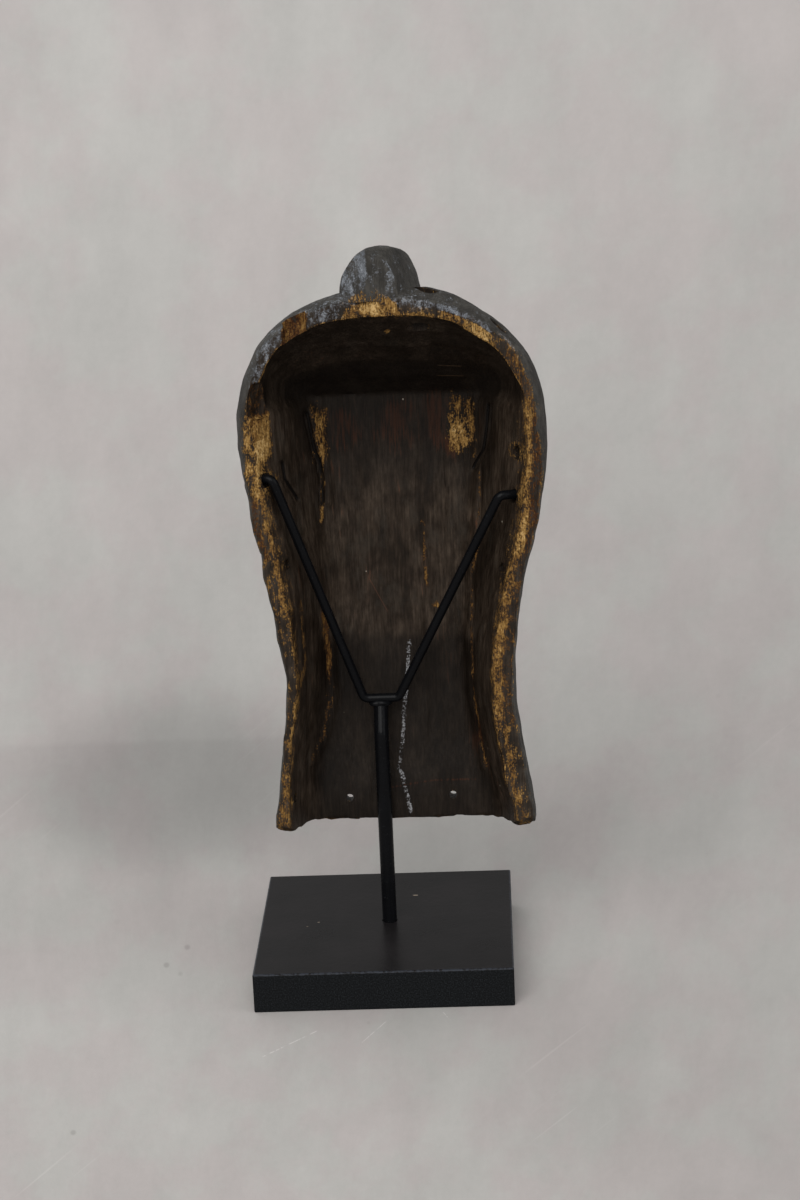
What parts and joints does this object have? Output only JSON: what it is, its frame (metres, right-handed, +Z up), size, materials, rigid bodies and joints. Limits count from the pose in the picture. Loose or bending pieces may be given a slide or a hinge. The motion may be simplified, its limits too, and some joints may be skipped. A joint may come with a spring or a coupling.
{
  "type": "songye mask on a display stand",
  "caption": "Carved dark wooden face mask with a crest, open at the back, hung by rim holes on a bent wire cradle on a rod in a square black board.",
  "frame": {"origin": "on the floor under the middle of the square board", "axes": "+Z up, the mask's face looks along -Y and its open back along +Y, +X is the wearer's left"},
  "size_m": [0.1661, 0.1431, 0.3989],
  "materials": {
    "mask_wood": "old dark patina with worn ochre edges, dry",
    "board_paint": "satin black paint on board",
    "steel_paint": "gloss black paint on steel"
  },
  "bodies": {
    "root": {"mask": "mask_wood", "stand_base": "board_paint", "stand_rod": "steel_paint", "stand_cradle": "steel_paint"}
  },
  "joints": []
}
